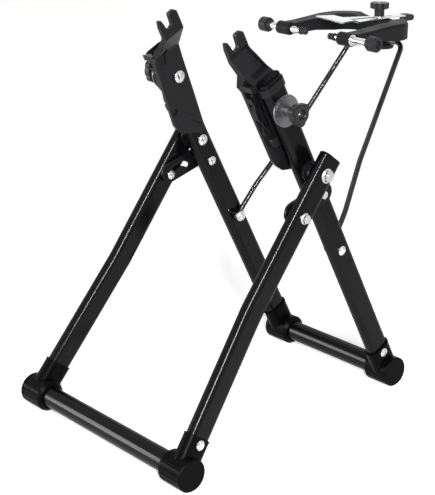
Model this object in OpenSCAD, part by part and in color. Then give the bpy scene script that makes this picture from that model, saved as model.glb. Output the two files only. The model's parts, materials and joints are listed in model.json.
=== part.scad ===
// Folding bicycle wheel truing stand. Millimetres, +Z up, +X to the rider's right, +Y to the rear.
// The origin is on the floor, in the middle of the footprint box.

/* [Legs] */
// Height of the fold axis above the floor
pivot_h = 336.3; // [325:0.1:345]
// Fold axis to the rear feet's axis
rear_reach = 357.7; // [350:0.1:372]
// Fold axis to the front feet's axis
front_reach = 394.7; // [388:0.1:405]
// Width of the oval tubes
tube_w = 33.5; // [31:0.1:35]
// Thickness of the oval tubes
tube_t = 16.5; // [15:0.1:17.5]
// Wall of the tubes
tube_wall = 1.2; // [0.9:0.1:1.6]
// Middle plane of the stand to the middle of a rear tube
rear_x = 101.6; // [98:0.1:105]
// Gap between a rear tube and the front leg beside it
leg_gap = 11.9; // [11:0.1:14]
// Rear tube above the fold axis
rear_top = 138; // [130:1:144]
// Front leg above the fold axis
front_top = 22.5; // [19:0.5:25]
// Outward bend of the front legs in degrees
splay = 4.5; // [3:0.1:6]
// Fold axis down to the bend in the front legs
splay_drop = 189.4; // [160:0.1:220]
// Radius of the bend in the front legs
bend_r = 80; // [50:1:120]
// Diameter of the base bars
bar_d = 28; // [25:0.1:30]

/* [Feet] */
// Diameter of a foot
foot_d = 41.4; // [39:0.1:44]
// Depth of the flat sole cut on a foot
sole_cut = 0.3; // [0.2:0.05:0.6]
// Length of a foot along its bar
foot_len = 42; // [40:0.5:45]
// End of a foot beyond the middle of its tube
foot_over = 18.3; // [17:0.1:20]
// Wall of a foot's socket
socket_wall = 2; // [1.6:0.1:2.6]
// Height of a socket above the foot's axis
socket_h = 44; // [42:0.5:48]
// Height of the foot screws above the foot's axis
foot_screw_h = 35.4; // [32:0.1:37]
// Spacing of the ribs round a foot in degrees
rib_step = 20; // [18:1:24]
// Depth of the grooves between the ribs
rib_depth = 1.6; // [1.2:0.1:2]

/* [Fold] */
// Diameter of the fold bolts
fold_bolt_d = 8; // [7:0.1:8.5]
// Fold axis down a rear tube to the stay's bolt
stay_down = 36.1; // [34:0.1:38]
// Fold axis down a front leg to the slot screw
slot_down = 59.2; // [57:0.1:61]
// Diameter of the stay bolts and slot screws
stay_bolt_d = 6; // [5:0.1:6.5]
// Width of a stay
stay_w = 27; // [25:0.5:29]
// Thickness of a stay
stay_t = 3.5; // [3:0.1:4]
// Greatest fold from the open stand in degrees
fold_max = 55; // [45:1:56]

/* [Dropouts] */
// Left clamp bolt above the fold axis at rest
left_rise = 106.8; // [105:0.1:108]
// Right clamp bolt above the fold axis at rest
right_rise = 93.5; // [92:0.1:95]
// Lowest place of a clamp bolt in the tube's slot
slot_low = 90.5; // [88:0.1:91.5]
// Highest place of a clamp bolt in the tube's slot
slot_high = 109.8; // [108.5:0.1:112]
// Diameter of the clamp bolts
clamp_bolt_d = 6; // [5:0.1:6.5]
// Distance between the inner faces of the two forks
fork_gap = 110.4; // [106:0.1:114]
// Thickness of a fork
fork_t = 6; // [5:0.1:7]
// Width of an axle notch
notch_w = 11; // [10:0.1:12]
// Clamp bolt up to the bottom of the axle notch
notch_up = 77.8; // [76:0.1:80]
// Plate's inner face to the tube at the clamp bolt
plate_t = 11.8; // [11:0.1:13]
// Diameter of the clamp discs
clamp_disc_d = 40; // [34:1:44]
// Reach of a knob's wing from its bolt
wing_reach = 15.5; // [14.5:0.5:18]
// Thickness of a wing knob's head
wing_t = 11; // [9:0.5:13]
// Diameter of a wing knob's hub
hub_d = 25; // [22:0.5:28]
// Diameter of a wing knob's steel neck
neck_d = 13.5; // [12:0.5:15]
// Length of the neck between the clamp disc and the knob's head
neck_len = 14; // [10:0.5:16]

/* [Gauge arm] */
// Fold axis down a rear tube to the arm's bolt
arm_down = 133.3; // [128:0.1:140]
// Lean of the arm from upright in degrees
arm_lean = 36.2; // [34:0.1:39]
// Diameter of the rod
rod_d = 7; // [6:0.1:7.5]
// Length of the arm from its bolts to the crossbar
arm_len = 296; // [290:0.5:300]
// Half width of the arm at its lower knee
knee_1_x = 85.5; // [84:0.1:87]
// Height of the lower knee along the arm
knee_1_t = 50; // [45:1:60]
// Half width of the arm at its upper knee
knee_2_x = 68.9; // [66:0.1:72]
// Height of the upper knee along the arm
knee_2_t = 122; // [110:1:135]
// Half width of the arm at the crossbar
rod_top_x = 44.2; // [42:0.1:46]
// Diameter of the arm bolts
arm_bolt_d = 6; // [5:0.1:6.5]

/* [Caliper] */
// Half width of the horseshoe outside
shoe_x = 68; // [66:0.5:70]
// Half width of the horseshoe inside
shoe_in_x = 46; // [45:0.5:48]
// Crossbar forward to the feelers' axis
feeler_y = 123.3; // [116:0.1:130]
// Crossbar up to the feelers' axis
feeler_z = 21.5; // [20.5:0.1:22.5]
// Crossbar up to the horseshoe's top
shoe_top = 32.5; // [32:0.1:34]
// Crossbar up to the horseshoe's underside
shoe_low = 10; // [9:0.1:11]
// Back of the horseshoe behind the crossbar
shoe_back = 5.7; // [5:0.1:8]
// Back of the mouth in front of the crossbar
mouth_back = 11.3; // [10:0.1:14]
// Diameter of the bosses at the horseshoe's tips
boss_d = 17.4; // [16:0.1:18.5]
// Diameter of the gauge bolt and of the tilt clamp's screw
head_bolt_d = 5; // [4.5:0.1:5.5]
// Diameter of the tilt clamp's disc
tilt_disc_d = 34; // [30:0.5:38]
// Diameter of the feeler screws
screw_d = 9; // [8:0.1:9.5]
// Gap between the two feeler tips if both were set like the right one
tip_gap = 49.2; // [45:0.1:55]
// How much further in the left feeler is screwed at rest
left_in = 10; // [6:0.5:12]
// Diameter of the feeler pins
pin_d = 6; // [5:0.1:6.5]
// Middle of a screw knob from the middle plane
knob_x = 103.5; // [101:0.1:108]
// Diameter of the screw knobs
knob_d = 19.5; // [18:0.1:22]

/* [Radial gauge] */
// Thickness of the gauge plate
gauge_t = 1.8; // [1.5:0.1:2]
// Gauge plate's length in front of the gauge bolt
gauge_front = 85; // [78:1:90]
// Gauge plate's length behind the gauge bolt
gauge_tail = 46; // [42:1:50]
// Width of the gauge plate's front edge
gauge_w = 63; // [56:1:66]
// Rise of the gauge plate's front above its seat
gauge_rise = 3.5; // [3:0.1:4]
// Swing of the gauge plate to the left at rest in degrees
gauge_swing = 11; // [6:1:14]

/* [Hidden] */
$fn = 64;

// Clearances
fit = 0.15;            // pieces that are pressed or screwed together
run = 0.05;            // a shaft that turns or slides in its hole
free = 0.4;            // pieces that pass without touching
face_gap = 0.1;        // flat faces that slide on each other
// A bend is a hair thicker than its straights, which run a little into it
swell = 0.04;
lap = 0.3;

// Where the legs stand
axis_h = foot_d / 2 - sole_cut;
rear_lean = acos((pivot_h - axis_h) / rear_reach);
front_lean = acos((pivot_h - axis_h) / front_reach);
rear_y = rear_reach * sin(rear_lean);
front_y = -front_reach * sin(front_lean);

// Faces of the tubes, on the right
rear_in = rear_x - tube_t / 2;
rear_out = rear_x + tube_t / 2;
leg_in = rear_out + leg_gap;
leg_out = leg_in + tube_t;
front_x = rear_out + leg_gap + tube_t / 2;
front_foot_x = front_x + (front_reach - splay_drop) * tan(splay);

// Gauge arm: its bolts' axis, and the crossbar, behind and above the fold axis
arm_y = arm_down * sin(rear_lean);
arm_z = pivot_h - arm_down * cos(rear_lean);
bar_y = arm_y + arm_len * sin(arm_lean);
bar_z = arm_z + arm_len * cos(arm_lean);

// Radial gauge: its seat, and the pull on its tail
seat_z = shoe_top - 4.1;
pull_w = 13;
pull_r = 4.2;
pull_over = 9;
pull_y = gauge_tail + pull_over - pull_r;
part_back = bar_y + (pull_y + pull_r) * cos(gauge_swing) + pull_w / 2 * sin(gauge_swing);
part_front = front_y - foot_d / 2;
pivot_y = -(part_back + part_front) / 2;

// Frames of reference. In the leaning ones +Z runs up the tube and +Y towards the rear.
module sided(side) {
  if (side > 0) children();
  else mirror([1, 0, 0]) children();
}
module pair() for (side = [-1, 1]) sided(side) children();
module at_pivot() translate([0, pivot_y, pivot_h]) children();
module along_rear() at_pivot() rotate([rear_lean, 0, 0]) children();
module along_front() at_pivot() rotate([-front_lean, 0, 0]) children();
module along_splay() {
  along_front() translate([front_x, 0, -splay_drop]) rotate([0, -splay, 0]) children();
}
module along_arm() {
  translate([0, pivot_y + arm_y, arm_z]) rotate([-arm_lean, 0, 0]) children();
}
module at_head() translate([0, pivot_y + bar_y, bar_z]) children();
module on_feeler() at_head() translate([0, -feeler_y, feeler_z]) children();
module on_gauge() at_head() rotate([0, 0, 180 - gauge_swing]) children();

// Shapes
module rod_x(x0, x1, d) translate([x0, 0, 0]) rotate([0, 90, 0]) cylinder(d = d, h = x1 - x0);
module ring_x(x0, x1, d, bore) {
  difference() {
    rod_x(x0, x1, d);
    rod_x(x0 - 1, x1 + 1, bore);
  }
}
// Spherical cap on the plane x = x0, standing out towards dir, set in a little from d
module dome_x(x0, dir, d, h) {
  cap_d = d - 0.4;
  big = (cap_d * cap_d / 4 + h * h) / (2 * h);
  translate([x0, 0, 0]) rotate([0, dir * 90, 0]) rotate_extrude() intersection() {
    translate([0, h - big]) circle(r = big);
    square([d, h]);
  }
}
// Oval tube section, thin along X
module oval(w, t) {
  square([t, w - t], center = true);
  for (end = [-1, 1]) translate([0, end * (w - t) / 2]) circle(d = t);
}
module oval_ring(w, t, wall) {
  difference() {
    oval(w, t);
    oval(w - 2 * wall, t - 2 * wall);
  }
}
// Prism along X of an outline drawn in (y, z)
module prism_x(x0, x1) {
  translate([x0, 0, 0]) rotate([90, 0, 90]) linear_extrude(x1 - x0) children();
}
// Round-ended slot outline between two heights
module slot_2d(z0, z1, w) {
  translate([-w / 2, z0]) square([w, z1 - z0]);
  for (z = [z0, z1]) translate([0, z]) circle(d = w);
}

// ---------- Rear frame ----------
socket_floor = bar_d / 2 + 3.5;
module rear_tube(head_hole) {
  along_rear() difference() {
    translate([rear_x, 0, -rear_reach + socket_floor + face_gap])
      linear_extrude(rear_top + rear_reach - socket_floor - face_gap)
        oval_ring(tube_w, tube_t, tube_wall);
    rod_x(rear_in - 1, rear_out + 1, fold_bolt_d + 2 * fit);
    rod_x(rear_in - 1, rear_x, head_hole + 2 * fit);
    translate([0, 0, -stay_down]) rod_x(rear_in - 1, rear_out + 1, stay_bolt_d + 2 * fit);
    translate([0, 0, -arm_down]) rod_x(rear_in - 1, rear_out + 1, arm_bolt_d + 2 * fit);
    translate([0, 0, foot_screw_h - rear_reach]) rod_x(rear_x, rear_out + 1, screw_hole_d);
    prism_x(rear_in - 1, rear_out + 1) slot_2d(slot_low, slot_high, clamp_bolt_d + 2 * free);
  }
}

module base_bar(outer_x, y, axis_z) {
  end_x = outer_x - 5 - face_gap;
  translate([0, pivot_y + y, axis_z]) ring_x(-end_x, end_x, bar_d, bar_d - 2 * tube_wall);
}

// Body of revolution of a foot about X, with chamfered ends
module foot_barrel(inner_x, outer_x) {
  nose = 4;
  edge = 1;
  r = foot_d / 2;
  translate([inner_x, 0, 0]) rotate([0, 90, 0]) rotate_extrude() polygon([
    [0, 0], [r - nose, 0], [r, nose], [r, foot_len - edge], [r - edge, foot_len], [0, foot_len]
  ]);
}

// Foot in a frame whose +Z runs up the tube; sole_a is the angle from +Z to the floor
module foot(inner_x, outer_x, tube_x, tilt, sole_a) {
  socket_w = tube_w + 2 * (socket_wall + fit);
  socket_t = tube_t + 2 * (socket_wall + fit);
  lip = 2;
  lip_wall = 0.4;
  difference() {
    union() {
      foot_barrel(inner_x, outer_x);
      translate([tube_x, 0, 0]) rotate([0, -tilt, 0]) {
        linear_extrude(socket_h) oval(socket_w, socket_t);
        translate([0, 0, socket_h - lip])
          linear_extrude(lip) oval(socket_w + 2 * lip_wall, socket_t + 2 * lip_wall);
      }
    }
    rod_x(inner_x - 1, outer_x - 5, bar_d + 2 * fit);
    translate([tube_x, 0, 0]) rotate([0, -tilt, 0]) translate([0, 0, socket_floor]) {
      linear_extrude(socket_h) oval(tube_w + 2 * fit, tube_t + 2 * fit);
      translate([0, 0, foot_screw_h - socket_floor]) rod_x(0, socket_t, screw_hole_d);
    }
    for (a = [88 : rib_step : 290])
      if (abs(a - sole_a) > rib_step * 0.5)
        rotate([a, 0, 0]) translate([0, 0, foot_d / 2])
          rod_x(inner_x + 2, outer_x - 3, 2 * rib_depth);
  }
}
module sole_cut() {
  reach = front_reach + rear_reach;
  translate([-reach, -reach, -foot_d]) cube([2 * reach, 2 * reach, foot_d]);
}
module rear_foot() {
  outer = rear_x + foot_over;
  difference() {
    along_rear() translate([0, 0, -rear_reach])
      foot(outer - foot_len, outer, rear_x, 0, 180 - rear_lean);
    sole_cut();
  }
}

// Pan-head screw through a socket's outer face, from the face at x
screw_hole_d = 4.3;
screw_shank_d = 4;
pan_d = 12.4;
pan_h = 3.2;
cross_w = 6;
cross_t = 1.3;
module pan_screw(x) {
  difference() {
    union() {
      rod_x(x - 8, x, screw_shank_d);
      rod_x(x, x + 0.8, pan_d);
      dome_x(x + 0.8, 1, pan_d, pan_h - 0.8);
    }
    for (a = [0, 90]) rotate([a, 0, 0])
      translate([x + pan_h - 1.4, -cross_w / 2, -cross_t / 2]) cube([2, cross_w, cross_t]);
  }
}
socket_face = tube_t / 2 + socket_wall + fit;
module rear_foot_screw() {
  along_rear() translate([0, 0, foot_screw_h - rear_reach]) pan_screw(rear_x + socket_face);
}

// Plug pushed into the top of a tube; origin at the middle of the tube's end
module tube_plug() {
  plug_w = tube_w - 2 * tube_wall - 2 * fit;
  plug_t = tube_t - 2 * tube_wall - 2 * fit;
  translate([0, 0, -8]) linear_extrude(8) oval_ring(plug_w, plug_t, 1.5);
  linear_extrude(1.6) oval(tube_w, tube_t);
  translate([0, 0, 1.6]) linear_extrude(0.8) oval(tube_w - 3, tube_t - 3);
}

// ---------- Fold axis ----------
fold_head_d = 15;
fold_nut_d = 15.5;
washer_t = 1.5;
module fold_bolt() {
  at_pivot() {
    rod_x(rear_in, leg_out + washer_t + 6, fold_bolt_d);
    rod_x(rear_in - 1.6, rear_in, fold_head_d);
    dome_x(rear_in - 1.6, -1, fold_head_d, 3.6);
  }
}
// The right bolt's head lies flush in the tube, because the dropout slides over it
module flush_fold_bolt() {
  at_pivot() {
    rod_x(rear_in, leg_out + washer_t + 6, fold_bolt_d);
    rod_x(rear_in, rear_in + 4, fold_head_d);
    rod_x(rear_in + 3, rear_out - tube_wall, fold_bolt_d + 3);
  }
}
module fold_nut() {
  nut_x = leg_out + face_gap + washer_t;
  hex_h = 4.5;
  along_front() difference() {
    union() {
      rod_x(leg_out + face_gap, nut_x, fold_nut_d + 3);
      translate([nut_x, 0, 0]) rotate([0, 90, 0]) cylinder(d = fold_nut_d, h = hex_h, $fn = 6);
    }
    rod_x(leg_out - 1, nut_x + hex_h + 1, fold_bolt_d + 2 * run);
  }
}
module fold_spacer() {
  collar = 2;
  at_pivot() difference() {
    union() {
      rod_x(rear_out, rear_out + collar, 27);
      rod_x(rear_out, leg_in - face_gap, 20);
      rod_x(leg_in - face_gap - collar, leg_in - face_gap, 27);
    }
    rod_x(rear_out - 1, leg_in + 1, fold_bolt_d + 2 * fit);
  }
}

// ---------- Stays ----------
// In the rear frame, seen along X: p runs down the rear tube, q forward from it.
leg_angle = rear_lean + front_lean;
function screw_at(fold) = [
  slot_down * cos(leg_angle - fold) - stay_down,
  slot_down * sin(leg_angle - fold)
];
function heading(fold) = atan2(screw_at(fold)[1], screw_at(fold)[0]);
stay_ratio = (heading(0) - heading(fold_max)) / fold_max;
// Place of the slot screw in the stay's own frame, whose +P axis points at the screw at rest
function in_stay(fold) =
  let (p = screw_at(fold), a = stay_ratio * fold - heading(0))
  [p[0] * cos(a) - p[1] * sin(a), p[0] * sin(a) + p[1] * cos(a)];
slot_steps = 14;
slot_path = [for (i = [0 : slot_steps]) in_stay(fold_max * i / slot_steps)];
function slot_normal(i) =
  let (
    a = slot_path[max(i - 1, 0)],
    b = slot_path[min(i + 1, slot_steps)],
    d = (b - a) / norm(b - a)
  )
  [-d[1], d[0]];
function slot_side(w) = [for (i = [0 : slot_steps]) slot_path[i] + slot_normal(i) * w / 2];
module stay_slot() {
  w = stay_bolt_d + 2 * free;
  back = slot_side(-w);
  polygon(concat(slot_side(w), [for (i = [slot_steps : -1 : 0]) back[i]]));
  for (end = [slot_path[0], slot_path[slot_steps]]) translate(end) circle(d = w);
}
stay_x = leg_in - face_gap - washer_t - stay_t;
// The stay is wide enough for the bow of its slot, which lies in the middle of it
slot_bow = [for (p = slot_path) p[1]];
slot_mid = (min(slot_bow) + max(slot_bow)) / 2;
stay_edge = 4;
stay_span = max(stay_w, max(slot_bow) - min(slot_bow) + stay_bolt_d + 2 * (free + stay_edge));
module stay_outline(inset) {
  w = stay_span - 2 * inset;
  tip = slot_path[0][0];
  translate([0, -w / 2 + slot_mid]) square([tip, w]);
  translate([0, slot_mid]) circle(d = w);
  translate([tip, slot_mid]) circle(d = w);
}
// The (p, q) plane in the rear frame: p is -Z, q is -Y
module stay_frame() {
  along_rear() translate([0, 0, -stay_down]) rotate([0, 90, 0]) rotate([0, 0, 180])
    mirror([1, 0, 0]) rotate([0, 0, heading(0)]) children();
}
module stay_plate() {
  rim = 2.2;
  groove = 0.8;
  stay_frame() translate([0, 0, stay_x]) difference() {
    linear_extrude(stay_t) stay_outline(0);
    translate([0, 0, -1]) linear_extrude(stay_t + 2) stay_slot();
    translate([0, 0, -1]) cylinder(d = stay_bolt_d + 2 * run, h = stay_t + 2);
    translate([0, 0, -groove]) linear_extrude(2 * groove) difference() {
      stay_outline(rim);
      stay_outline(rim + 1.6);
    }
  }
}
module stay_bolt() {
  along_rear() translate([0, 0, -stay_down]) {
    dome_x(rear_in - 1.2, -1, 12.5, 2.8);
    rod_x(rear_in - 1.2, rear_in, 12.5);
    rod_x(rear_in, stay_x + stay_t + face_gap, stay_bolt_d);
    rod_x(stay_x + stay_t + face_gap, stay_x + stay_t + 0.9, 10);
  }
}
module stay_spacer() {
  along_rear() translate([0, 0, -stay_down])
    ring_x(rear_out, stay_x - face_gap, 13, stay_bolt_d + 2 * fit);
}
module slot_screw() {
  along_front() translate([0, 0, -slot_down]) {
    dome_x(stay_x - face_gap - 1, -1, 11.5, 2.4);
    rod_x(stay_x - face_gap - 1, stay_x - face_gap, 11.5);
    rod_x(stay_x - face_gap, slot_nut_x + slot_nut_h + 0.8, stay_bolt_d);
    rod_x(stay_x + stay_t + face_gap, leg_in, 12);
  }
}
slot_nut_x = leg_out + 1.2;
slot_nut_h = 4;
module slot_nut() {
  along_front() translate([0, 0, -slot_down]) difference() {
    union() {
      rod_x(leg_out, slot_nut_x, 14);
      translate([slot_nut_x, 0, 0]) rotate([0, 90, 0])
        cylinder(d = 12, h = slot_nut_h, $fn = 6);
    }
    rod_x(leg_out - 1, slot_nut_x + slot_nut_h + 1, stay_bolt_d + 2 * fit);
  }
}

// ---------- Front frame ----------
module front_leg() {
  tangent = bend_r * tan(splay / 2);
  difference() {
    union() {
      along_front() translate([front_x, 0, -splay_drop]) translate([0, 0, tangent]) {
        translate([0, 0, -lap]) linear_extrude(front_top + splay_drop - tangent + lap)
          oval_ring(tube_w, tube_t, tube_wall);
        translate([bend_r, 0, 0]) rotate([90, 0, 180]) mirror([0, 1, 0])
          rotate_extrude(angle = splay) translate([bend_r, 0])
            oval_ring(tube_w + swell, tube_t + swell, tube_wall + swell);
      }
      along_splay() translate([0, 0, -splay_len + socket_floor + face_gap])
        linear_extrude(splay_len - socket_floor - face_gap - tangent + lap)
          oval_ring(tube_w, tube_t, tube_wall);
    }
    along_front() {
      rod_x(leg_in - 1, leg_out + 1, fold_bolt_d + 2 * run);
      translate([0, 0, -slot_down]) rod_x(leg_in - 1, leg_out + 1, stay_bolt_d + 2 * fit);
    }
    along_splay() translate([0, 0, foot_screw_h - splay_len]) rod_x(0, tube_t, screw_hole_d);
  }
}
splay_len = (front_reach - splay_drop) / cos(splay);
module front_foot() {
  outer = front_foot_x + foot_over;
  difference() {
    along_front() translate([0, 0, -front_reach])
      foot(outer - foot_len, outer, front_foot_x, splay, 180 + front_lean);
    sole_cut();
  }
}
module front_foot_screw() {
  along_splay() translate([0, 0, foot_screw_h - splay_len]) pan_screw(socket_face);
}

// ---------- Dropouts ----------
// Frame of one dropout: origin on the clamp bolt, +Z up the tube, +Y to the rear.
module on_dropout(rise) along_rear() translate([0, 0, rise]) children();
fork_in = fork_gap / 2;
plate_gap = 0.3;
plate_face = rear_in - plate_gap;
notch_y = 1.3;
tube_front = -tube_w / 2 - free;
fork_top = 100;
plate_low = -100;
web_low = 44;
// Lean of the plate's inner face: it comes inwards towards the top
function plate_in(z) = rear_in - plate_t - 0.104 * z;
module dropout_profile() {
  // Strip from fork through the slanting web to the plate, in (x, z)
  polygon([
    [fork_in, fork_top], [fork_in, 67], [plate_in(50) - 5, 47], [plate_in(40), 40],
    [plate_in(-84), -84], [plate_in(plate_low), plate_low],
    [plate_face, plate_low], [plate_face, web_low], [plate_in(50) + 7, 50],
    [fork_in + fork_t + 3, 68], [fork_in + fork_t, 72], [fork_in + fork_t, fork_top]
  ]);
}
module dropout_outline() {
  // Seen along X, in (y, z): y is to the rear
  polygon([
    [-9.5, 94.5], [-6.6, 94], [-4.3, 86], [6.9, 86], [7.5, 92.5], [9.2, 95], [17.5, 95],
    [20.5, 92], [20.5, 78], [19.8, 63], [18, 48], [16, 20], [14, -30], [11.5, -80],
    [10.5, -92], [7, -96.5], [2, -96], [-12, -85], [-25, -77], [-31, -66], [-33, -58],
    [-31, -25], [-26.5, 46], [-15, 54], [-12.5, 66], [-12, 86]
  ]);
}
module axle_notch() {
  r = notch_w / 2;
  translate([notch_y, notch_up + r]) circle(r = r);
  polygon([
    [notch_y - r, notch_up + r], [notch_y + r, notch_up + r],
    [notch_y + r + 1.5, 96], [notch_y - r - 1.5, 96]
  ]);
}
// Sleeve round the tube, with a cap in front of it whose top is level when the stand is open
collar_low = 30;
collar_top = 41;
collar_wall = 1.6;
cap_x = 98;
module dropout_collar() {
  edge = 1;
  w = tube_w + 2 * (free + collar_wall);
  t = tube_t + 2 * (free + collar_wall);
  translate([rear_x, 0, collar_low]) linear_extrude(collar_top - edge - collar_low) oval(w, t);
  translate([rear_x, 0, collar_low])
    linear_extrude(collar_top - collar_low) oval(w - 2 * edge, t - 2 * edge);
  prism_x(plate_in(collar_top) + 1, cap_x)
    polygon([[-26.2, 49], [-15, 43.3], [-15, 35.3], [-26.5, 41.3]]);
}
// In front of the tube the plate is thin. It carries crossed ribs, a wall and a block.
front_t = 4.8;
rib_low = -22;
rib_high = 36;
rib_wall_y = -21.5;
rib_x = 92;
block_x = 98.5;
module thin_front() {
  translate([0, tube_front, 0]) rotate([90, 0, 0]) linear_extrude(30) polygon([
    [plate_in(plate_low - 1) + front_t, plate_low - 1], [plate_in(60) + front_t, 60],
    [120, 60], [120, plate_low - 1]
  ]);
}
// Room for ribs and wall, seen along Y in (x, z): it follows the lean of the plate
rib_wall_t = 1.5;
rib_wide = 8;
module rib_space() {
  translate([0, rib_wall_y + rib_wall_t, 0]) rotate([90, 0, 0])
    linear_extrude(rib_wide + rib_wall_t) polygon([
      [plate_in(rib_low) + 1, rib_low], [plate_in(rib_high) + 1, rib_high],
      [rib_x, rib_high], [rib_x, rib_low]
    ]);
}
module dropout_ribs() {
  rib_t = 1.8;
  cell = (rib_high - rib_low) / 2;
  intersection() {
    rib_space();
    prism_x(0, 120) dropout_outline();
    union() {
      translate([0, rib_wall_y, rib_low - 1]) cube([120, rib_wall_t + 1, 2 * cell + 2]);
      for (i = [0.5, 1.5], tilt = [-1, 1])
        translate([rib_x, rib_wall_y - rib_wide / 2, rib_low + i * cell])
          rotate([tilt * atan(rib_wide / cell), 0, 0]) cube([40, rib_t, cell + 6], center = true);
    }
  }
}
module dropout_block() {
  low = -40.5;
  high = -28;
  front = -27.5;
  back = tube_front;
  r = 3;
  prism_x(plate_in(low) + 1, block_x) {
    translate([front + r, low]) square([back - front - 2 * r, high - low]);
    translate([front, low + r]) square([back - front, high - low - 2 * r]);
    for (y = [front + r, back - r], z = [low + r, high - r]) translate([y, z]) circle(r = r);
  }
}
// Marks in the plate's inner face: a shallow recess, a blind hole and a slanting slit
module dropout_marks() {
  prism_x(fork_in, plate_in(40) + 2.4) polygon([[-24, 45], [-4, 50], [-11, 28], [-22, 34]]);
  translate([0, -25, -41]) rod_x(fork_in, plate_in(-41) + 3, 8.8);
  prism_x(fork_in, plate_in(-82) + 1.4)
    translate([0, -75]) rotate([0, 0, 35.5]) slot_2d(-7.5, 7.5, 3);
}
module dropout_body() {
  difference() {
    union() {
      difference() {
        intersection() {
          translate([0, 40, 0]) rotate([90, 0, 0]) linear_extrude(80) dropout_profile();
          prism_x(0, 120) dropout_outline();
        }
        thin_front();
        dropout_hollow();
      }
      dropout_ribs();
      dropout_block();
      dropout_collar();
      rod_x(clamp_seat_x, plate_face - 2, clamp_head_d + 2);
    }
    // Passage for the tube through the collar
    translate([rear_x, 0, -5]) linear_extrude(90) oval(tube_w + 2 * free, tube_t + 2 * free);
    prism_x(0, 120) axle_notch();
    rod_x(fork_in, rear_in + 1, clamp_bolt_d + 2 * fit);
    dropout_marks();
  }
}
// Hollow that follows the back of the fork and web, between the side rims
module dropout_hollow() {
  floor_x = fork_in + 3.4;
  front = -8.4;
  back = 17.5;
  low = 47;
  high = 76;
  translate([0, back, 0]) rotate([90, 0, 0]) linear_extrude(back - front) polygon([
    [floor_x, high], [floor_x, 70.5], [plate_in(50) - 1.5, low],
    [plate_in(50) + 30, low], [plate_in(50) + 30, high]
  ]);
}
module dropout(rise) on_dropout(rise) dropout_body();
clamp_head_d = 16;
clamp_seat_x = plate_in(0) - 1.3;
module dropout_bolt(rise) {
  on_dropout(rise) {
    rod_x(clamp_seat_x - 0.8, clamp_seat_x, clamp_head_d);
    dome_x(clamp_seat_x - 0.8, -1, clamp_head_d, 3);
    rod_x(clamp_seat_x, wing_x1 - recess_t - 1, clamp_bolt_d);
  }
}
disc_x0 = rear_out + face_gap;
disc_x1 = disc_x0 + 3;
wing_x0 = disc_x1 + face_gap;
wing_head_x = wing_x0 + neck_len;
wing_x1 = wing_head_x + wing_t;
recess_t = 6;
module clamp_disc(rise) {
  on_dropout(rise) difference() {
    union() {
      rod_x(disc_x0, disc_x1 - 1, clamp_disc_d);
      rod_x(disc_x0, disc_x1, clamp_disc_d - 5);
    }
    rod_x(disc_x0 - 1, disc_x1 + 1, clamp_bolt_d + 2 * fit);
  }
}
// Three-winged head on a steel neck that ends in a recess, where the bolt's end shows
lobe_d = 12;
module wing_outline(turn, inset) {
  circle(d = hub_d - 2 * inset);
  for (a = [turn : 120 : turn + 240]) rotate([0, 0, a])
    translate([0, wing_reach - lobe_d / 2]) circle(d = lobe_d - 2 * inset);
}
module wing_knob(rise, turn) {
  edge = 1.2;
  on_dropout(rise) difference() {
    union() {
      prism_x(wing_head_x + edge, wing_x1 - edge) wing_outline(turn, 0);
      prism_x(wing_head_x, wing_x1) wing_outline(turn, edge);
    }
    rod_x(wing_x0 - 1, wing_x1 + 1, neck_d);
  }
}
module wing_insert(rise) {
  on_dropout(rise) ring_x(wing_x0, wing_x1 - recess_t, neck_d, clamp_bolt_d + 2 * run);
}

// ---------- Gauge arm ----------
function unit(v) = v / norm(v);
function turn(a, b, c) =
  let (u = unit(b - a), v = unit(c - b))
  atan2(u[0] * v[1] - u[1] * v[0], u * v);
// Round rod through points in the XY plane, each inner corner bent to its own radius
module bent_rod(points, radii, d) {
  last = len(points) - 1;
  trim = [for (i = [0 : last])
    i == 0 || i == last ? 0
    : radii[i] * tan(abs(turn(points[i - 1], points[i], points[i + 1])) / 2)];
  for (i = [0 : last - 1]) {
    way = unit(points[i + 1] - points[i]);
    start = i == 0 ? 0 : trim[i] - lap;
    end = norm(points[i + 1] - points[i]) - (i == last - 1 ? 0 : trim[i + 1] - lap);
    translate(points[i]) rotate([0, 0, atan2(way[1], way[0])]) rod_x(start, end, d);
  }
  for (i = [1 : last - 1]) {
    bend = turn(points[i - 1], points[i], points[i + 1]);
    way = unit(points[i] - points[i - 1]);
    side = sign(bend);
    middle = points[i] - way * trim[i] + [-way[1], way[0]] * side * radii[i];
    start = atan2(way[1], way[0]) - side * 90 + min(bend, 0);
    translate(middle) rotate([0, 0, start])
      rotate_extrude(angle = abs(bend)) translate([radii[i], 0]) circle(d = d + swell);
  }
}
eye_t = rod_d + 0.8;
eye_x = rear_in - 0.3 - eye_t / 2;
eye_d = 16;
rod_half = [
  [eye_x, 0], [eye_x, 16], [knee_1_x, knee_1_t], [knee_2_x, knee_2_t], [rod_top_x, arm_len]
];
rod_points = concat(rod_half, [for (i = [4 : -1 : 0]) [-rod_half[i][0], rod_half[i][1]]]);
rod_radii = [0, 40, 60, 90, 13, 13, 90, 60, 40, 0];
module gauge_rod() {
  along_arm() difference() {
    union() {
      rotate([90, 0, 0]) bent_rod(rod_points, rod_radii, rod_d);
      pair() rod_x(eye_x - eye_t / 2, eye_x + eye_t / 2, eye_d);
    }
    pair() rod_x(eye_x - eye_t, eye_x + eye_t, arm_bolt_d + 2 * run);
  }
}
arm_washer_x = eye_x - eye_t / 2 - face_gap;
module arm_bolt() {
  head_h = 3.4;
  along_rear() translate([0, 0, -arm_down]) difference() {
    union() {
      dome_x(rear_out + 1, 1, 12.5, head_h - 1);
      rod_x(rear_out, rear_out + 1, 12.5);
      rod_x(arm_washer_x - washer_t - 4, rear_out, arm_bolt_d);
    }
    translate([rear_out + 1, 0, 0]) rotate([0, 90, 0]) cylinder(d = 5, h = head_h, $fn = 6);
  }
}
module arm_washer() {
  along_rear() translate([0, 0, -arm_down])
    ring_x(arm_washer_x - washer_t, arm_washer_x, 14, arm_bolt_d + 2 * fit);
}
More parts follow.
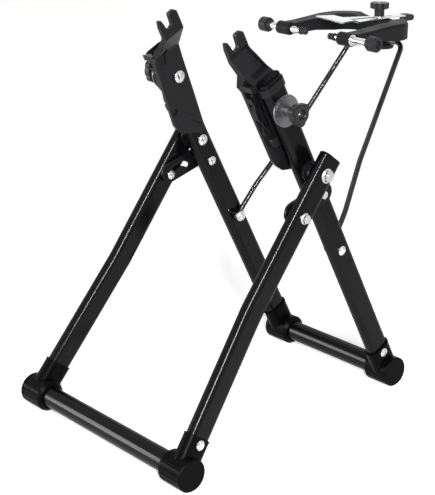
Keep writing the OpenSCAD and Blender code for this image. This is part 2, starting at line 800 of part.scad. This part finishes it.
module arm_nut() {
  nut_x = arm_washer_x - washer_t;
  along_rear() translate([0, 0, -arm_down]) difference() {
    union() {
      translate([nut_x - 3, 0, 0]) rotate([0, 90, 0]) cylinder(d = 11.5, h = 3, $fn = 6);
      dome_x(nut_x - 3, -1, 9.5, 3);
    }
    rod_x(nut_x - 4 - face_gap, nut_x + 1, arm_bolt_d + 2 * fit);
  }
}

// ---------- Caliper head ----------
// Frame at_head: origin on the crossbar's axis, -Y forward.
front_tip = -feeler_y;
ledge = 1.2;
ledge_down = 3.2;
module shoe_outline(inset) {
  corner = 38 - inset;
  hw = shoe_x - inset;
  back = shoe_back - inset;
  difference() {
    union() {
      translate([-hw, front_tip]) square([2 * hw, feeler_y + back - corner]);
      translate([corner - hw, front_tip]) square([2 * (hw - corner), feeler_y + back]);
      for (side = [-1, 1]) translate([side * (hw - corner), back - corner]) circle(r = corner);
    }
    mouth_r = 28 + inset;
    in_x = shoe_in_x + inset;
    mouth = -mouth_back - inset;
    translate([-in_x, front_tip - 10]) square([2 * in_x, feeler_y + 10 + mouth - mouth_r]);
    translate([mouth_r - in_x, front_tip - 10])
      square([2 * (in_x - mouth_r), feeler_y + 10 + mouth]);
    for (side = [-1, 1]) translate([side * (in_x - mouth_r), mouth - mouth_r]) circle(r = mouth_r);
  }
}
// Side view of the horseshoe in (y, z), its top lowered by drop
module shoe_profile(drop) {
  polygon([
    [front_tip - 1, feeler_z - 7.5], [-75, shoe_low + 4.5], [-38, shoe_low + 0.5],
    [30, shoe_low], [30, shoe_top - drop], [-46, shoe_top - drop],
    [-66, shoe_top - 1.5 - drop], [-100, shoe_top - 4 - drop],
    [front_tip - 1, shoe_top - 4.6 - drop]
  ]);
}
boss_in = shoe_in_x;
boss_out = shoe_x - 2;
insert_od = 13;
insert_in = boss_in + 3;
// Tilt clamp behind the crossbar
clamp_y = rod_d / 2 + head_bolt_d / 2 + 0.7;
clamp_top = 14;
// Round dish in the horseshoe's back, with a boss that carries the radial gauge
dish_z = shoe_top - 6;
dish_r = 19;
dish_top_r = 38;
rim_r = 18.7;
recess_r = 16.5;
recess_z = dish_z - 2;
gauge_boss_d = 16;
bolt_low = rod_d / 2 + 2;
module caliper_housing() {
  block_w = 26;
  at_head() difference() {
    union() {
      difference() {
        union() {
          intersection() {
            translate([0, 0, -5]) linear_extrude(60) shoe_outline(0);
            prism_x(-100, 100) shoe_profile(ledge_down);
          }
          intersection() {
            translate([0, 0, -5]) linear_extrude(60) shoe_outline(ledge);
            prism_x(-100, 100) shoe_profile(0);
          }
        }
        translate([0, 0, dish_z])
          cylinder(r1 = dish_r, r2 = dish_top_r, h = shoe_top - dish_z + 0.01);
      }
      intersection() {
        translate([0, 0, shoe_low]) cylinder(r = rim_r, h = dish_z - shoe_low);
        translate([-30, -mouth_back - 1.5, 0]) cube([60, 60, 60]);
      }
      for (side = [-1, 1]) sided(side)
        translate([0, front_tip, feeler_z]) rod_x(boss_in, boss_out, boss_d);
      // Block under the horseshoe that sits on the crossbar
      translate([-block_w / 2, -7, 0.8]) cube([block_w, clamp_y + 14, shoe_low + 0.2]);
    }
    difference() {
      translate([0, 0, recess_z]) cylinder(r = recess_r, h = 20);
      cylinder(d = gauge_boss_d, h = seat_z);
    }
    rod_x(-block_w, block_w, rod_d + 2 * run);
    translate([0, 0, bolt_low]) cylinder(d = head_bolt_d + 2 * fit, h = 60);
    translate([0, clamp_y, -1]) cylinder(d = head_bolt_d + 2 * fit, h = clamp_top + 1.5);
    for (side = [-1, 1]) sided(side) {
      translate([0, front_tip, feeler_z]) {
        rod_x(insert_in, boss_out + 1, insert_od + 2 * fit);
        rod_x(boss_in - 1, boss_out, screw_d + 2 * free);
      }
      translate([boss_out, front_tip - 10, 0]) cube([10, 19, 60]);
    }
  }
  at_head() difference() {
    translate([0, 0, recess_z - 1]) cylinder(d = gauge_boss_d, h = seat_z - recess_z + 1);
    translate([0, 0, bolt_low]) cylinder(d = head_bolt_d + 2 * fit, h = 60);
  }
}
module boss_insert() {
  on_feeler() difference() {
    union() {
      rod_x(insert_in + face_gap, boss_out + 0.5, insert_od);
      rod_x(boss_out + 0.02, boss_out + 1, insert_od + 1.5);
    }
    rod_x(boss_in - 1, boss_out + 2, screw_d + 2 * run);
  }
}
saddle_low = -7.2;
disc_h = 5;
module under_saddle() {
  block_w = 24;
  at_head() difference() {
    translate([-block_w / 2, -6.5, saddle_low])
      cube([block_w, clamp_y + 13, -0.8 - saddle_low]);
    rod_x(-block_w, block_w, rod_d + 2 * run);
    translate([0, clamp_y, saddle_low - 1]) cylinder(d = head_bolt_d + 2 * fit, h = 20);
  }
}
module tilt_disc() {
  grips = 24;
  edge = 1;
  at_head() translate([0, clamp_y, saddle_low - face_gap - disc_h]) difference() {
    union() {
      cylinder(d = tilt_disc_d - 2 * edge, h = disc_h);
      translate([0, 0, edge]) cylinder(d = tilt_disc_d, h = disc_h - 2 * edge);
    }
    translate([0, 0, -1]) cylinder(d = head_bolt_d + 2 * run, h = disc_h + 2);
    for (i = [0 : grips - 1]) rotate([0, 0, i * 360 / grips])
      translate([tilt_disc_d / 2, 0, -1]) cylinder(d = 1.8, h = disc_h + 2);
  }
}
module tilt_screw() {
  disc_low = saddle_low - 2 * face_gap - disc_h;
  at_head() translate([0, clamp_y, 0]) {
    translate([0, 0, disc_low]) cylinder(d = head_bolt_d, h = clamp_top - disc_low);
    translate([0, 0, disc_low]) rotate([0, 90, 0]) dome_x(0, 1, 9.5, 2.6);
  }
}
guide_t = 1;
stem_z = seat_z + face_gap + gauge_t + face_gap + guide_t + face_gap;
stem_h = 10.5;
knob_head_h = 7.7;
module gauge_bolt() {
  at_head() translate([0, 0, bolt_low + face_gap])
    cylinder(d = head_bolt_d, h = stem_z + stem_h + knob_head_h + 0.8 - bolt_low - face_gap);
}
module gauge_knob() {
  stem_d = 13.6;
  head_d = 25.6;
  lobes = 8;
  at_head() translate([0, 0, stem_z]) difference() {
    union() {
      cylinder(d = stem_d, h = stem_h);
      translate([0, 0, stem_h]) cylinder(d = head_d - 6.6, h = knob_head_h);
      for (i = [0 : lobes - 1]) rotate([0, 0, i * 360 / lobes])
        translate([head_d / 2 - 3.2, 0, stem_h]) cylinder(d = 6.4, h = knob_head_h);
    }
    for (i = [0 : 11]) rotate([0, 0, i * 30])
      translate([stem_d / 2, 0, -1]) cylinder(d = 1.8, h = stem_h + 1);
    translate([0, 0, -1]) cylinder(d = head_bolt_d + 2 * run, h = stem_h + knob_head_h + 2);
  }
}

// ---------- Radial gauge ----------
// Frame on_gauge: origin on the gauge bolt, +Y forward along the plate.
slot_w = head_bolt_d + 1.6;
gauge_slot_front = 46;
gauge_slot_back = 18;
tail_w = 13;
tang_w = 7;
tang_len = 6;
module gauge_outline() {
  waist = 8;
  tail = -gauge_tail + tang_len;
  polygon([
    [-tang_w / 2, -gauge_tail], [tang_w / 2, -gauge_tail], [tang_w / 2, tail],
    [tail_w / 2, tail], [tail_w / 2, -waist],
    [gauge_w / 2, gauge_front - 3], [gauge_w / 2 - 3, gauge_front],
    [3 - gauge_w / 2, gauge_front], [-gauge_w / 2, gauge_front - 3],
    [-tail_w / 2, -waist], [-tail_w / 2, tail], [-tang_w / 2, tail]
  ]);
}
module gauge_plate() {
  step_0 = gauge_slot_front + 4;
  step_1 = step_0 + 9;
  low = seat_z + face_gap;
  high = low + gauge_rise;
  on_gauge() difference() {
    intersection() {
      translate([0, 0, low - 1]) linear_extrude(gauge_rise + gauge_t + 2) gauge_outline();
      prism_x(-60, 60) polygon([
        [-gauge_tail - 1, low], [step_0, low], [step_1, high], [gauge_front + 1, high],
        [gauge_front + 1, high + gauge_t], [step_1 - 0.5, high + gauge_t],
        [step_0 - 0.5, low + gauge_t], [-gauge_tail - 1, low + gauge_t]
      ]);
    }
    translate([0, 0, low - 1]) linear_extrude(gauge_t + 2)
      slot_2d(-gauge_slot_back, gauge_slot_front, slot_w);
  }
}
module gauge_guide() {
  key = slot_w - 2 * run;
  key_len = 8;
  on_gauge() difference() {
    union() {
      translate([0, 0, seat_z + gauge_t + 2 * face_gap]) cylinder(d = 15, h = guide_t);
      translate([-key / 2, -key_len / 2, seat_z + face_gap])
        cube([key, key_len, gauge_t + face_gap + guide_t / 2]);
    }
    translate([0, 0, seat_z - 1]) cylinder(d = head_bolt_d + 2 * run, h = 10);
  }
}
module gauge_pull() {
  top = seat_z + face_gap + gauge_t + 0.5;
  thick = 2 * pull_r;
  front = gauge_tail - tang_len;
  on_gauge() difference() {
    union() {
      translate([-pull_w / 2, -pull_y, top - thick]) cube([pull_w, pull_y - front, thick]);
      translate([0, -pull_y, top - pull_r]) rod_x(-pull_w / 2, pull_w / 2, thick);
    }
    translate([-tang_w / 2 - fit, -gauge_tail - fit, seat_z + face_gap - fit])
      cube([tang_w + 2 * fit, 20, gauge_t + 2 * fit]);
  }
}

// ---------- Lateral feelers ----------
module left_feeler() sided(-1) translate([-left_in, 0, 0]) children();
tip_x = tip_gap / 2;
cap_len = 12;
pin_x1 = boss_in + 6;
screw_x0 = boss_in + 2;
knob_len = 14;
knob_in = knob_x - knob_len / 2;
knob_out = knob_x + knob_len / 2;
module tip_cap() {
  cap_d = 8.6;
  on_feeler() difference() {
    union() {
      dome_x(tip_x + 2, -1, cap_d, 2);
      rod_x(tip_x + 2, tip_x + cap_len, cap_d);
      rod_x(tip_x + cap_len - 2, tip_x + cap_len, cap_d + 1.4);
    }
    rod_x(tip_x + 4, tip_x + cap_len + 1, pin_d + 2 * fit);
  }
}
module tip_pin() on_feeler() rod_x(tip_x + 4.2, pin_x1, pin_d);
module feeler_screw() {
  on_feeler() difference() {
    rod_x(screw_x0, knob_out - 4, screw_d);
    rod_x(screw_x0 - 1, pin_x1 + face_gap, pin_d + 2 * run);
  }
}
module screw_ring() {
  on_feeler() ring_x(knob_in - 3 - face_gap, knob_in - face_gap, 14, screw_d + 2 * fit);
}
module screw_knob() {
  grips = 20;
  on_feeler() difference() {
    union() {
      rod_x(knob_in + 1, knob_out - 1, knob_d);
      rod_x(knob_in, knob_out, knob_d - 2);
    }
    rod_x(knob_in - 1, knob_out - 4 + face_gap, screw_d + 2 * fit);
    rod_x(knob_out - 3.5, knob_out + 1, 11);
    for (i = [0 : grips - 1]) rotate([i * 360 / grips, 0, 0])
      translate([0, 0, knob_d / 2]) rod_x(knob_in - 1, knob_out + 1, 1.4);
  }
}

// ---------- The pieces ----------
module rear_tube_plug() along_rear() translate([rear_x, 0, rear_top]) tube_plug();
module front_leg_plug() along_front() translate([front_x, 0, front_top]) tube_plug();
black = [0.05, 0.05, 0.055];
plastic = [0.10, 0.10, 0.11];
steel = [0.78, 0.79, 0.80];

color(black) sided(-1) rear_tube(fold_bolt_d);  // rear_tube_left
color(black) rear_tube(fold_head_d);  // rear_tube_right
color(black) base_bar(rear_x + foot_over, rear_y, axis_h);  // rear_base_bar
color(plastic) sided(-1) rear_foot();  // rear_foot_left
color(plastic) rear_foot();  // rear_foot_right
color(steel) pair() rear_foot_screw();  // rear_foot_screws
color(plastic) pair() rear_tube_plug();  // rear_tube_plugs
color(steel) {  // fold_bolts
  sided(-1) fold_bolt();
  flush_fold_bolt();
}
color(steel) pair() fold_nut();  // fold_nuts
color(plastic) pair() fold_spacer();  // fold_spacers
color(steel) pair() stay_bolt();  // stay_bolts
color(steel) pair() stay_spacer();  // stay_spacers
color(steel) pair() arm_bolt();  // arm_bolts
color(steel) pair() arm_nut();  // arm_nuts
color(steel) pair() arm_washer();  // arm_washers
color(black) sided(-1) front_leg();  // front_leg_left
color(black) front_leg();  // front_leg_right
color(black) base_bar(front_foot_x + foot_over, front_y, axis_h);  // front_base_bar
color(plastic) sided(-1) front_foot();  // front_foot_left
color(plastic) front_foot();  // front_foot_right
color(steel) pair() front_foot_screw();  // front_foot_screws
color(plastic) pair() front_leg_plug();  // front_leg_plugs
color(steel) pair() slot_screw();  // slot_screws
color(steel) pair() slot_nut();  // slot_nuts
color(black) sided(-1) stay_plate();  // stay_plate_left
color(black) stay_plate();  // stay_plate_right
color(plastic) sided(-1) dropout(left_rise);  // dropout_left
color(plastic) dropout(right_rise);  // dropout_right
color(steel) sided(-1) dropout_bolt(left_rise);  // dropout_bolt_left
color(steel) dropout_bolt(right_rise);  // dropout_bolt_right
color(steel) sided(-1) clamp_disc(left_rise);  // clamp_disc_left
color(steel) clamp_disc(right_rise);  // clamp_disc_right
color(plastic) sided(-1) wing_knob(left_rise, 10);  // wing_knob_left
color(plastic) wing_knob(right_rise, 40);  // wing_knob_right
color(steel) sided(-1) wing_insert(left_rise);  // wing_insert_left
color(steel) wing_insert(right_rise);  // wing_insert_right
color(black) gauge_rod();
color(plastic) caliper_housing();
color(steel) pair() boss_insert();  // boss_inserts
color(plastic) under_saddle();
color(steel) tilt_screw();
color(plastic) tilt_disc();
color(steel) gauge_bolt();
color(plastic) gauge_knob();
color(steel) gauge_guide();
color(steel) gauge_plate();
color(plastic) gauge_pull();
color(steel) left_feeler() tip_pin();  // tip_pin_left
color(steel) tip_pin();  // tip_pin_right
color(plastic) left_feeler() tip_cap();  // tip_cap_left
color(plastic) tip_cap();  // tip_cap_right
color(steel) left_feeler() feeler_screw();  // feeler_screw_left
color(steel) feeler_screw();  // feeler_screw_right
color(plastic) left_feeler() screw_knob();  // screw_knob_left
color(plastic) screw_knob();  // screw_knob_right
color(plastic) left_feeler() screw_ring();  // screw_ring_left
color(plastic) screw_ring();  // screw_ring_right
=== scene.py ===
import json
import math

import bpy
from mathutils import Matrix, Vector

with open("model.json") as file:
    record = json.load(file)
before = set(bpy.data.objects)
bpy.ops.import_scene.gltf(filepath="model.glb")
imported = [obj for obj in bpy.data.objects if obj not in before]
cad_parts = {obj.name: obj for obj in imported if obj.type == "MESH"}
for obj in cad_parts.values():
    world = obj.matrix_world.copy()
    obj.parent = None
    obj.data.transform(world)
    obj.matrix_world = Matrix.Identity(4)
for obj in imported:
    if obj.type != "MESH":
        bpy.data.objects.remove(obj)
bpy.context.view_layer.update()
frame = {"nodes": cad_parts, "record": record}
nodes = frame["nodes"]

# ---------------------------------------------------------------- Place taken from the frame
# The fold axis, which the camera's place is measured from in depth.
fold_joint = next(j for j in frame["record"]["behaviour"]["joints"] if j["name"] == "fold")
PIVOT = Vector(fold_joint["pos_m"])


# ---------------------------------------------------------------- Materials
def new_material(name):
    mat = bpy.data.materials.new(name)
    mat.use_nodes = True
    tree = mat.node_tree
    bsdf = tree.nodes["Principled BSDF"]
    return mat, tree, bsdf


def add(tree, kind, **values):
    node = tree.nodes.new(kind)
    for key, value in values.items():
        setattr(node, key, value)
    return node


def times(tone, factor):
    return tuple(c * factor for c in tone)


def noise(tree, scale, detail=3.0, rough=0.55, stretch=(1, 1, 1)):
    coord = add(tree, "ShaderNodeTexCoord")
    place = add(tree, "ShaderNodeMapping")
    place.inputs["Scale"].default_value = stretch
    tex = add(tree, "ShaderNodeTexNoise")
    tex.inputs["Scale"].default_value = scale
    tex.inputs["Detail"].default_value = detail
    tex.inputs["Roughness"].default_value = rough
    tree.links.new(coord.outputs["Object"], place.inputs["Vector"])
    tree.links.new(place.outputs["Vector"], tex.inputs["Vector"])
    return tex


def ramp(tree, source, low, high, value_low, value_high):
    """Maps a value from low..high to value_low..value_high."""
    node = add(tree, "ShaderNodeMapRange")
    node.inputs["From Min"].default_value = low
    node.inputs["From Max"].default_value = high
    node.inputs["To Min"].default_value = value_low
    node.inputs["To Max"].default_value = value_high
    tree.links.new(source, node.inputs["Value"])
    return node.outputs["Result"]


def two_tones(tree, source, low, low_tone, high, high_tone):
    """Turns a noise value into a slow change between two tones."""
    node = add(tree, "ShaderNodeValToRGB")
    stops = ((low, low_tone), (high, high_tone))
    for element, (at, tone) in zip(node.color_ramp.elements, stops):
        element.position = at
        element.color = (*tone, 1)
    tree.links.new(source, node.inputs["Fac"])
    return node.outputs["Color"]


def mix_tone(tree, factor, base, tone):
    """Mixes one plain tone into a colour."""
    mix = add(tree, "ShaderNodeMix", data_type="RGBA")
    tree.links.new(factor, mix.inputs["Factor"])
    tree.links.new(base, mix.inputs["A"])
    mix.inputs["B"].default_value = (*tone, 1)
    return mix.outputs["Result"]


def bump(tree, bsdf, source, strength, distance):
    node = add(tree, "ShaderNodeBump")
    node.inputs["Strength"].default_value = strength
    node.inputs["Distance"].default_value = distance
    tree.links.new(source, node.inputs["Height"])
    tree.links.new(node.outputs["Normal"], bsdf.inputs["Normal"])


def edge_wear(tree, base, worn, amount):
    """Mixes a lighter tone in on sharp edges, broken up by noise."""
    geo = add(tree, "ShaderNodeNewGeometry")
    edge = ramp(tree, geo.outputs["Pointiness"], 0.58, 0.8, 0.0, amount)
    patch = noise(tree, 220, 2)
    broken = ramp(tree, patch.outputs["Fac"], 0.35, 0.65, 0.2, 1.0)
    both = add(tree, "ShaderNodeMath", operation="MULTIPLY")
    tree.links.new(edge, both.inputs[0])
    tree.links.new(broken, both.inputs[1])
    return mix_tone(tree, both.outputs[0], base, worn)


def painted_crevice_shade(tree, base, shade_tone):
    """Painted shade: mixes a dark tone in where the mesh is hollow, in recesses and inner corners where
    shade falls.
    """
    geo = add(tree, "ShaderNodeNewGeometry")
    hollow = ramp(tree, geo.outputs["Pointiness"], 0.4, 0.49, 1.0, 0.0)
    return mix_tone(tree, hollow, base, shade_tone)


def roughness(tree, bsdf, source, low, high, rough_low, rough_high):
    """Lets the roughness wander between two values with a noise."""
    tree.links.new(ramp(tree, source, low, high, rough_low, rough_high), bsdf.inputs["Roughness"])


def paint(name, tone, rough_low, rough_high, specular, coat, coat_rough):
    """Black powder coat: fine orange peel, slight tone changes, lighter edges."""
    mat, tree, bsdf = new_material(name)
    cloud = noise(tree, 14, 4)
    base = two_tones(tree, cloud.outputs["Fac"], 0.3, tone, 0.7, times(tone, 1.5))
    colour = edge_wear(tree, base, times(tone, 4), 0.4)
    tree.links.new(colour, bsdf.inputs["Base Color"])
    smear = noise(tree, 45, 3)
    roughness(tree, bsdf, smear.outputs["Fac"], 0.3, 0.7, rough_low, rough_high)
    peel = noise(tree, 900, 2)
    bump(tree, bsdf, peel.outputs["Fac"], 0.1, 0.0002)
    bsdf.inputs["Specular IOR Level"].default_value = specular
    bsdf.inputs["Coat Weight"].default_value = coat
    bsdf.inputs["Coat Roughness"].default_value = coat_rough
    return mat


def moulded(name, tone, rough_low, rough_high, specular, grain, depth):
    """Moulded plastic: fine grain, cloudy sheen, scuffed edges."""
    mat, tree, bsdf = new_material(name)
    cloud = noise(tree, 22, 4)
    base = two_tones(tree, cloud.outputs["Fac"], 0.3, tone, 0.7, times(tone, 1.4))
    colour = edge_wear(tree, base, times(tone, 3), 0.4)
    tree.links.new(colour, bsdf.inputs["Base Color"])
    smear = noise(tree, 60, 3)
    roughness(tree, bsdf, smear.outputs["Fac"], 0.3, 0.7, rough_low, rough_high)
    skin = noise(tree, grain, 3, 0.65)
    bump(tree, bsdf, skin.outputs["Fac"], 0.3, depth)
    bsdf.inputs["Specular IOR Level"].default_value = specular
    return mat


def plated(name, tone, rough_low, rough_high):
    """Plated steel: faint haze and handling marks, with painted shade in its recesses."""
    mat, tree, bsdf = new_material(name)
    cloud = noise(tree, 90, 3)
    base = two_tones(tree, cloud.outputs["Fac"], 0.3, times(tone, 0.9), 0.7, tone)
    # Painted shade: the recesses are darkened to a near-black tone
    colour = painted_crevice_shade(tree, base, times(tone, 0.08))
    tree.links.new(colour, bsdf.inputs["Base Color"])
    bsdf.inputs["Metallic"].default_value = 1.0
    marks = noise(tree, 300, 2)
    roughness(tree, bsdf, marks.outputs["Fac"], 0.35, 0.65, rough_low, rough_high)
    fine = noise(tree, 1500, 2)
    bump(tree, bsdf, fine.outputs["Fac"], 0.05, 0.0001)
    return mat


def brushed(name, tone, stretch):
    """Steel sheet with a rolled grain along its length."""
    mat, tree, bsdf = new_material(name)
    lines = noise(tree, 600, 4, 0.6, stretch)
    base = two_tones(tree, lines.outputs["Fac"], 0.25, times(tone, 0.78), 0.75, tone)
    tree.links.new(base, bsdf.inputs["Base Color"])
    bsdf.inputs["Metallic"].default_value = 1.0
    roughness(tree, bsdf, lines.outputs["Fac"], 0.3, 0.7, 0.2, 0.36)
    bump(tree, bsdf, lines.outputs["Fac"], 0.15, 0.0001)
    return mat


# A tone is linear RGB. The stand is near black, so its tones are low.
MATERIALS = {
    "tube_paint": paint("tube_paint", (0.0014, 0.0014, 0.0017), 0.3, 0.4, 0.01, 0.24, 0.15),
    "rod_paint": paint("rod_paint", (0.002, 0.002, 0.0024), 0.2, 0.28, 0.04, 0.6, 0.1),
    "stay_paint": paint("stay_paint", (0.003, 0.003, 0.0034), 0.26, 0.38, 0.06, 0.1, 0.14),
    "foot_plastic": moulded("foot_plastic", (0.0015, 0.0015, 0.0018), 0.28, 0.4, 0.03, 700, 0.0002),
    "dropout_plastic": moulded("dropout_plastic", (0.0055, 0.0055, 0.0062), 0.3, 0.42, 0.13, 800, 0.0002),
    "knob_plastic": moulded("knob_plastic", (0.012, 0.012, 0.013), 0.36, 0.48, 0.2, 900, 0.0002),
    "head_plastic": moulded("head_plastic", (0.006, 0.006, 0.0067), 0.5, 0.62, 0.12, 900, 0.0002),
    "chrome": plated("chrome", (0.66, 0.66, 0.68), 0.07, 0.14),
    "dull_zinc": plated("dull_zinc", (0.17, 0.17, 0.175), 0.34, 0.5),
    "plain_steel": brushed("plain_steel", (0.74, 0.75, 0.76), (1, 12, 1)),
    "tip_rubber": moulded("tip_rubber", (0.01, 0.01, 0.011), 0.5, 0.66, 0.2, 500, 0.0003),
}
# These four are in dull zinc plate, whatever steel their slot names
DULL = {"clamp_disc_left", "clamp_disc_right", "wing_insert_left", "wing_insert_right"}
slot_of = {s["node"]: s["material_slot"] for s in frame["record"]["subparts"]}
for name, obj in nodes.items():
    obj.data.materials.clear()
    finish = "dull_zinc" if name in DULL else slot_of[name]
    obj.data.materials.append(MATERIALS[finish])

# ---------------------------------------------------------------- Floor and light
# The floor's own light, which keeps it near white, and the world's light on the object
FLOOR_GLOW = 0.5
WORLD_LIGHT = 0.22
# The floor is whole out to FADE_FROM from the middle and has faded at FADE_TO
FLOOR_R = 1.3
FADE_FROM = 0.45
FADE_TO = FLOOR_R * 0.97


def seen_ray(tree):
    """1 for camera, glossy and transmission rays, 0 for the rays that light the object."""
    path = add(tree, "ShaderNodeLightPath")
    first = add(tree, "ShaderNodeMath", operation="MAXIMUM")
    both = add(tree, "ShaderNodeMath", operation="MAXIMUM")
    tree.links.new(path.outputs["Is Camera Ray"], first.inputs[0])
    tree.links.new(path.outputs["Is Glossy Ray"], first.inputs[1])
    tree.links.new(first.outputs[0], both.inputs[0])
    tree.links.new(path.outputs["Is Transmission Ray"], both.inputs[1])
    return both.outputs[0]


def disc(name, radius, sides=96):
    mesh = bpy.data.meshes.new(name)
    angles = [2 * math.pi * i / sides for i in range(sides)]
    ring = [(radius * math.cos(a), radius * math.sin(a), 0.0) for a in angles]
    mesh.from_pydata(ring, [], [tuple(range(sides))])
    obj = bpy.data.objects.new(name, mesh)
    bpy.context.collection.objects.link(obj)
    return obj


def lit_floor(tree):
    """White and matt, with a glow that only the camera and reflections see."""
    diffuse = add(tree, "ShaderNodeBsdfDiffuse")
    diffuse.inputs["Color"].default_value = (0.9, 0.9, 0.9, 1)
    level = add(tree, "ShaderNodeMath", operation="MULTIPLY")
    level.inputs[1].default_value = FLOOR_GLOW
    tree.links.new(seen_ray(tree), level.inputs[0])
    glow = add(tree, "ShaderNodeEmission")
    glow.inputs["Color"].default_value = (1, 1, 1, 1)
    tree.links.new(level.outputs[0], glow.inputs["Strength"])
    lifted = add(tree, "ShaderNodeAddShader")
    tree.links.new(diffuse.outputs[0], lifted.inputs[0])
    tree.links.new(glow.outputs[0], lifted.inputs[1])
    return lifted.outputs[0]


def way_out(tree):
    """0 near the middle of the floor, 1 towards its rim."""
    where = add(tree, "ShaderNodeTexCoord")
    far = add(tree, "ShaderNodeVectorMath", operation="LENGTH")
    tree.links.new(where.outputs["Object"], far.inputs[0])
    fade = add(tree, "ShaderNodeMapRange", interpolation_type="SMOOTHSTEP")
    fade.inputs["From Min"].default_value = FADE_FROM
    fade.inputs["From Max"].default_value = FADE_TO
    tree.links.new(far.outputs["Value"], fade.inputs["Value"])
    return fade.outputs["Result"]


def floor_material():
    """Takes the object's shadow and fades into the white world around it."""
    mat = bpy.data.materials.new("floor")
    mat.use_nodes = True
    tree = mat.node_tree
    tree.nodes.clear()
    out = add(tree, "ShaderNodeOutputMaterial")
    clear = add(tree, "ShaderNodeBsdfTransparent")
    mix = add(tree, "ShaderNodeMixShader")
    tree.links.new(way_out(tree), mix.inputs[0])
    tree.links.new(lit_floor(tree), mix.inputs[1])
    tree.links.new(clear.outputs[0], mix.inputs[2])
    tree.links.new(mix.outputs[0], out.inputs["Surface"])
    return mat


floor = disc("floor", FLOOR_R)
floor.data.materials.append(floor_material())


def white(tree, strength):
    node = add(tree, "ShaderNodeBackground")
    node.inputs["Color"].default_value = (1, 1, 1, 1)
    node.inputs["Strength"].default_value = strength
    return node.outputs[0]


def white_world():
    """White where it is seen, and dimmer in what it sheds on the object."""
    world = bpy.data.worlds.new("studio")
    bpy.context.scene.world = world
    world.use_nodes = True
    tree = world.node_tree
    tree.nodes.clear()
    out = add(tree, "ShaderNodeOutputWorld")
    mix = add(tree, "ShaderNodeMixShader")
    tree.links.new(seen_ray(tree), mix.inputs[0])
    tree.links.new(white(tree, WORLD_LIGHT), mix.inputs[1])
    tree.links.new(white(tree, 1.0), mix.inputs[2])
    tree.links.new(mix.outputs[0], out.inputs["Surface"])


white_world()


def softbox(name, place, aim, size, power):
    data = bpy.data.lights.new(name, "AREA")
    data.shape = "RECTANGLE"
    data.size, data.size_y = size
    data.energy = power
    obj = bpy.data.objects.new(name, data)
    bpy.context.collection.objects.link(obj)
    obj.location = place
    way = Vector(aim) - Vector(place)
    obj.rotation_euler = way.to_track_quat("-Z", "Y").to_euler()


# Left makes the band along the base bars, and strip the thin line down the legs
softbox("left", (-1.6, -1.75, 0.45), (0, -0.2, 0.1), (0.5, 1.1), 30)
softbox("strip", (1.7, -1.35, 1.3), (0.1, -0.1, 0.2), (0.045, 1.3), 100)
softbox("key", (-0.3, -1.2, 2.1), (0, 0, 0.25), (0.5, 0.5), 4)
softbox("fill", (1.9, 0.6, 1.1), (0, 0, 0.3), (0.4, 1.2), 2)
softbox("back", (-1.2, 1.6, 1.6), (0, 0, 0.3), (0.8, 0.6), 3)

# ---------------------------------------------------------------- Camera
# Solved once from the photograph's leg pairs, base bars and bolts
YAW, PITCH, ROLL = math.radians(-48.67), math.radians(-18.93), math.radians(0.28)
CAMERA_X = 1.24110
CAMERA_FORE = 1.14560
CAMERA_H = 0.78699
FOCAL_PX = 1351.84
LONG_SIDE_PX = 495
SENSOR_MM = 36.0
level = math.cos(PITCH)
forward = Vector((math.sin(YAW) * level, math.cos(YAW) * level, math.sin(PITCH)))
right = forward.cross(Vector((0, 0, 1))).normalized()
up = right.cross(forward)
right, up = (
    right * math.cos(ROLL) + up * math.sin(ROLL),
    up * math.cos(ROLL) - right * math.sin(ROLL),
)
cam_data = bpy.data.cameras.new("camera")
cam = bpy.data.objects.new("camera", cam_data)
bpy.context.collection.objects.link(cam)
bpy.context.scene.camera = cam
cam_data.sensor_width = SENSOR_MM
cam_data.lens = FOCAL_PX * SENSOR_MM / LONG_SIDE_PX
cam_data.clip_start = 0.05
cam_data.clip_end = 30
turn = Matrix((right, up, -forward)).transposed().to_4x4()
place = Vector((CAMERA_X, PIVOT.y - CAMERA_FORE, CAMERA_H))
cam.matrix_world = Matrix.Translation(place) @ turn

bpy.context.scene.view_settings.view_transform = "Standard"
